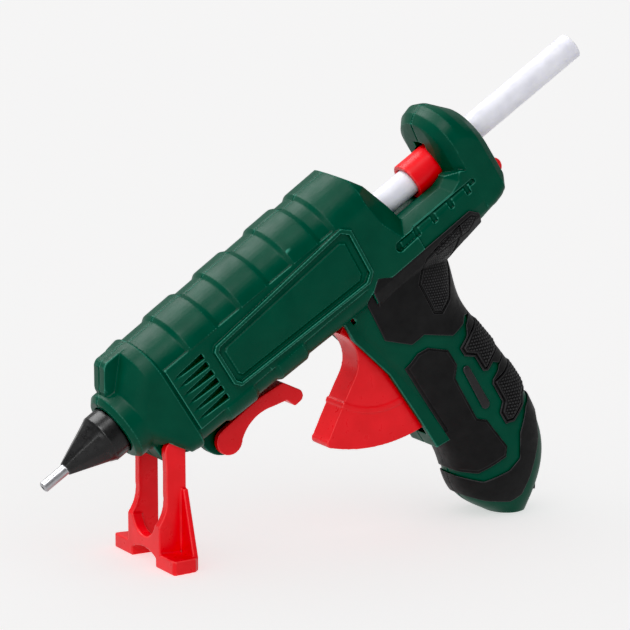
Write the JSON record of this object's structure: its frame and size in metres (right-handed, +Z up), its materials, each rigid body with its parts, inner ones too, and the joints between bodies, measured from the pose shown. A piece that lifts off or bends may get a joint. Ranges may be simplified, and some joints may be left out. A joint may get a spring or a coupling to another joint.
{
  "type": "hot glue gun",
  "caption": "Pistol-grip hot glue gun with trigger feed, glue stick in an open rear window, fold-out front stand and soft grips, standing nose down.",
  "frame": {"origin": "centre of the bounding box on the bench plane that the stand's feet and the handle's heel rest on", "axes": "+Z up, +X along the bench from the nozzle towards the glue stick's free end, +Y across the gun towards its right side"},
  "size_m": [0.2435, 0.0512, 0.1941],
  "materials": {
    "green_shell": "fine moulded grain, satin",
    "soft_grip": "matt textured soft-touch",
    "red_plastic": "semi gloss",
    "black_sleeve": "semi gloss",
    "black_plastic": "satin",
    "nickel_nozzle": "turned, bright",
    "cast_aluminium": "as cast",
    "heater_ceramic": "matt ceramic",
    "silicone": "matt",
    "hot_melt_glue": "translucent, waxy",
    "circuit_board": "solder resist",
    "lead_insulation": "woven sleeve",
    "steel": "zinc plated",
    "brass_pins": "bright"
  },
  "bodies": {
    "gun": {"catch_pin": "steel", "control_board": "circuit_board", "feed_bush": "silicone", "front_grip_left": "soft_grip", "front_grip_right": "soft_grip", "front_insulator": "silicone", "heater_clip": "steel", "heater_leads": "lead_insulation", "heating_element": "heater_ceramic", "heel_boot_left": "soft_grip", "heel_boot_right": "soft_grip", "housing_left": "green_shell", "housing_right": "green_shell", "housing_screws": "steel", "inlet_pins": "brass_pins", "inlet_sleeve": "silicone", "lower_rear_pad_left": "soft_grip", "lower_rear_pad_right": "soft_grip", "mains_inlet": "black_plastic", "melt_chamber": "cast_aluminium", "nozzle": "nickel_nozzle", "nozzle_sleeve": "black_sleeve", "sleeve_clamp": "steel", "stand_pin": "steel", "switch_bezel": "black_plastic", "switch_body": "black_plastic", "trigger_pin": "steel", "trigger_spring": "steel", "type_plate": "black_plastic", "upper_grip_left": "soft_grip", "upper_grip_right": "soft_grip", "upper_rear_pad_left": "soft_grip", "upper_rear_pad_right": "soft_grip"},
    "trigger": {"trigger": "red_plastic"},
    "feed_carriage": {"feed_collar": "red_plastic"},
    "glue_stick": {"glue_stick": "hot_melt_glue"},
    "stand": {"stand": "red_plastic"},
    "stand_catch": {"stand_catch": "red_plastic"},
    "power_button": {"power_button": "red_plastic"}
  },
  "joints": [
    {"name": "trigger_pull", "type": "hinge", "parent": "gun", "child": "trigger", "pos_m": [0.02164, 0, 0.09104], "axis": [0, -1, 0], "range_deg": [0, 24], "stiffness_Nm_per_rad": 0.35, "springref_deg": -8.59},
    {"name": "feed_slide", "type": "slide", "parent": "gun", "child": "feed_carriage", "axis": [-0.8406, 0, -0.5417], "range_m": [0, 0.0085]},
    {"name": "stick_slide", "type": "slide", "parent": "gun", "child": "glue_stick", "axis": [0.8406, 0, 0.5417], "range_m": [0, 0.12]},
    {"name": "stand_fold", "type": "hinge", "parent": "gun", "child": "stand", "pos_m": [-0.07027, 0, 0.04609], "axis": [0, -1, 0], "range_deg": [0, 68]},
    {"name": "catch_swing", "type": "hinge", "parent": "gun", "child": "stand_catch", "pos_m": [-0.04194, 0, 0.04496], "axis": [0, 1, 0], "range_deg": [0, 35], "stiffness_Nm_per_rad": 0.05, "springref_deg": -8.59},
    {"name": "button_press", "type": "slide", "parent": "gun", "child": "power_button", "axis": [-0.8406, 0, -0.5417], "range_m": [0, 0.0014], "stiffness_N_per_m": 300, "springref_m": -0.001}
  ],
  "couplings": [
    {"joint": "feed_slide", "follows": "trigger_pull", "m_per_rad": 0.0201}
  ]
}
